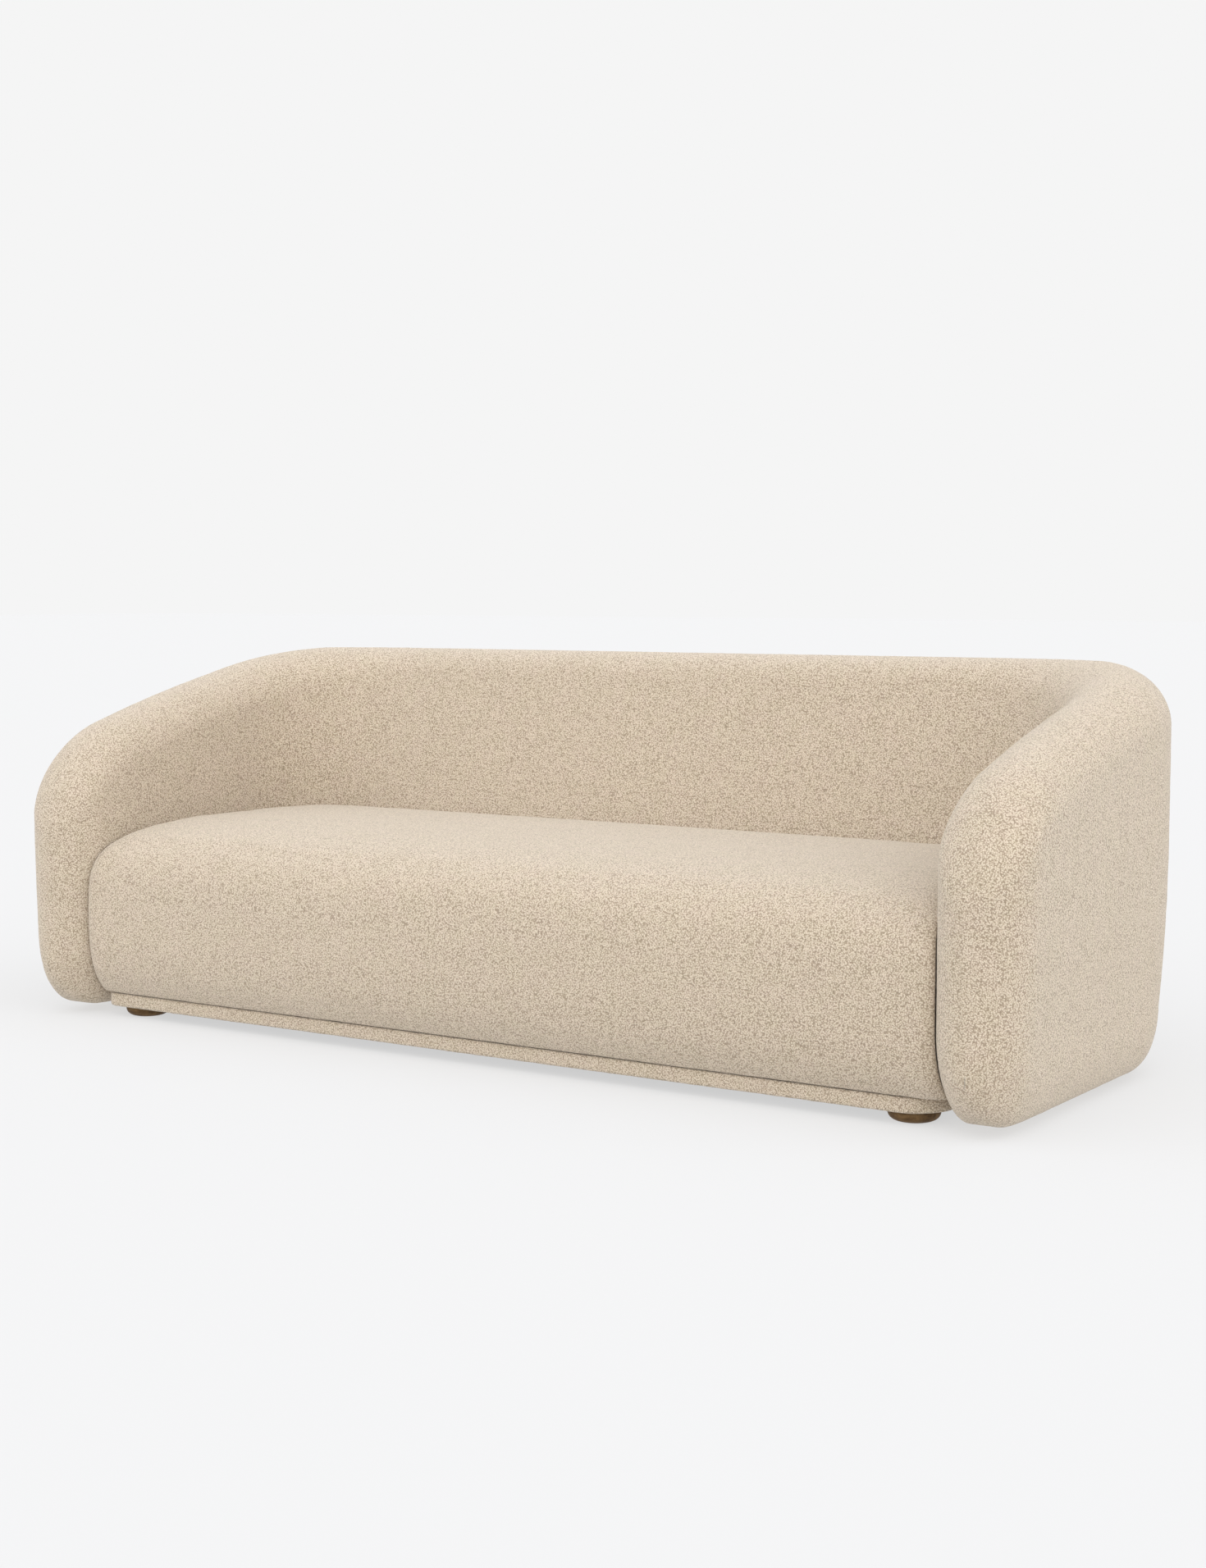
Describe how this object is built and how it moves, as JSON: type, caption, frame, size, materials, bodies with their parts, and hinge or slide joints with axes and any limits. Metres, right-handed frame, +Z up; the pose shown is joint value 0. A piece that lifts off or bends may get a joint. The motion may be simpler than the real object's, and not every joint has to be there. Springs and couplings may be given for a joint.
{
  "type": "sofa",
  "caption": "Rounded upholstered sofa: one wraparound back-and-arm shell, a thick tight bench seat, a low fabric band and squat turned wooden feet.",
  "frame": {"origin": "on the floor under the middle of the sofa's box", "axes": "+X towards the sofa's right end as seen from in front, -Y out of its front, +Z up"},
  "size_m": [2.3, 0.96, 0.77],
  "materials": {
    "boucle": "looped boucle, cream and sand, matt",
    "walnut": "turned dark walnut, satin lacquer",
    "frame_hardwood": "sawn hardwood, unfinished",
    "plywood": "cut plywood, unfinished",
    "spring_steel": "oiled spring wire",
    "zinc_steel": "zinc-plated steel",
    "foam": "cut upholstery foam",
    "wadding": "soft polyester wadding over foam",
    "cambric": "thin black non-woven cloth",
    "elastic_webbing": "woven elastic webbing"
  },
  "bodies": {
    "root": {"arm_base_board_left": "plywood", "arm_base_board_right": "plywood", "arm_front_post_left": "frame_hardwood", "arm_front_post_right": "frame_hardwood", "arm_inner_panel_left": "plywood", "arm_inner_panel_right": "plywood", "arm_outer_panel_left": "plywood", "arm_outer_panel_right": "plywood", "arm_padding_left": "wadding", "arm_padding_right": "wadding", "back_and_arm_cover": "boucle", "back_bottom_rail": "frame_hardwood", "back_padding": "wadding", "back_post_left": "frame_hardwood", "back_post_right": "frame_hardwood", "back_tack_rail": "frame_hardwood", "back_top_rail": "frame_hardwood", "back_webbing_1": "elastic_webbing", "back_webbing_2": "elastic_webbing", "band_back": "boucle", "band_front": "boucle", "band_left": "boucle", "band_right": "boucle", "corner_rib_left": "plywood", "corner_rib_right": "plywood", "dust_cover": "cambric", "foot_block_centre": "frame_hardwood", "foot_block_front_left": "frame_hardwood", "foot_block_front_right": "frame_hardwood", "foot_block_rear_left": "frame_hardwood", "foot_block_rear_right": "frame_hardwood", "foot_bolt_centre": "zinc_steel", "foot_bolt_front_left": "zinc_steel", "foot_bolt_front_right": "zinc_steel", "foot_bolt_rear_left": "zinc_steel", "foot_bolt_rear_right": "zinc_steel", "foot_centre": "walnut", "foot_front_left": "walnut", "foot_front_right": "walnut", "foot_rear_left": "walnut", "foot_rear_right": "walnut", "frame_bolt_front_left": "zinc_steel", "frame_bolt_front_right": "zinc_steel", "frame_bolt_rear_left": "zinc_steel", "frame_bolt_rear_right": "zinc_steel", "seat_back_rail": "frame_hardwood", "seat_centre_stretcher": "frame_hardwood", "seat_cover": "boucle", "seat_foam": "foam", "seat_front_rail": "frame_hardwood", "seat_left_rail": "frame_hardwood", "seat_right_rail": "frame_hardwood", "seat_spring_1": "spring_steel", "seat_spring_2": "spring_steel", "seat_spring_3": "spring_steel", "seat_spring_4": "spring_steel", "seat_spring_5": "spring_steel", "seat_spring_6": "spring_steel", "seat_spring_7": "spring_steel", "seat_spring_8": "spring_steel"}
  },
  "joints": []
}
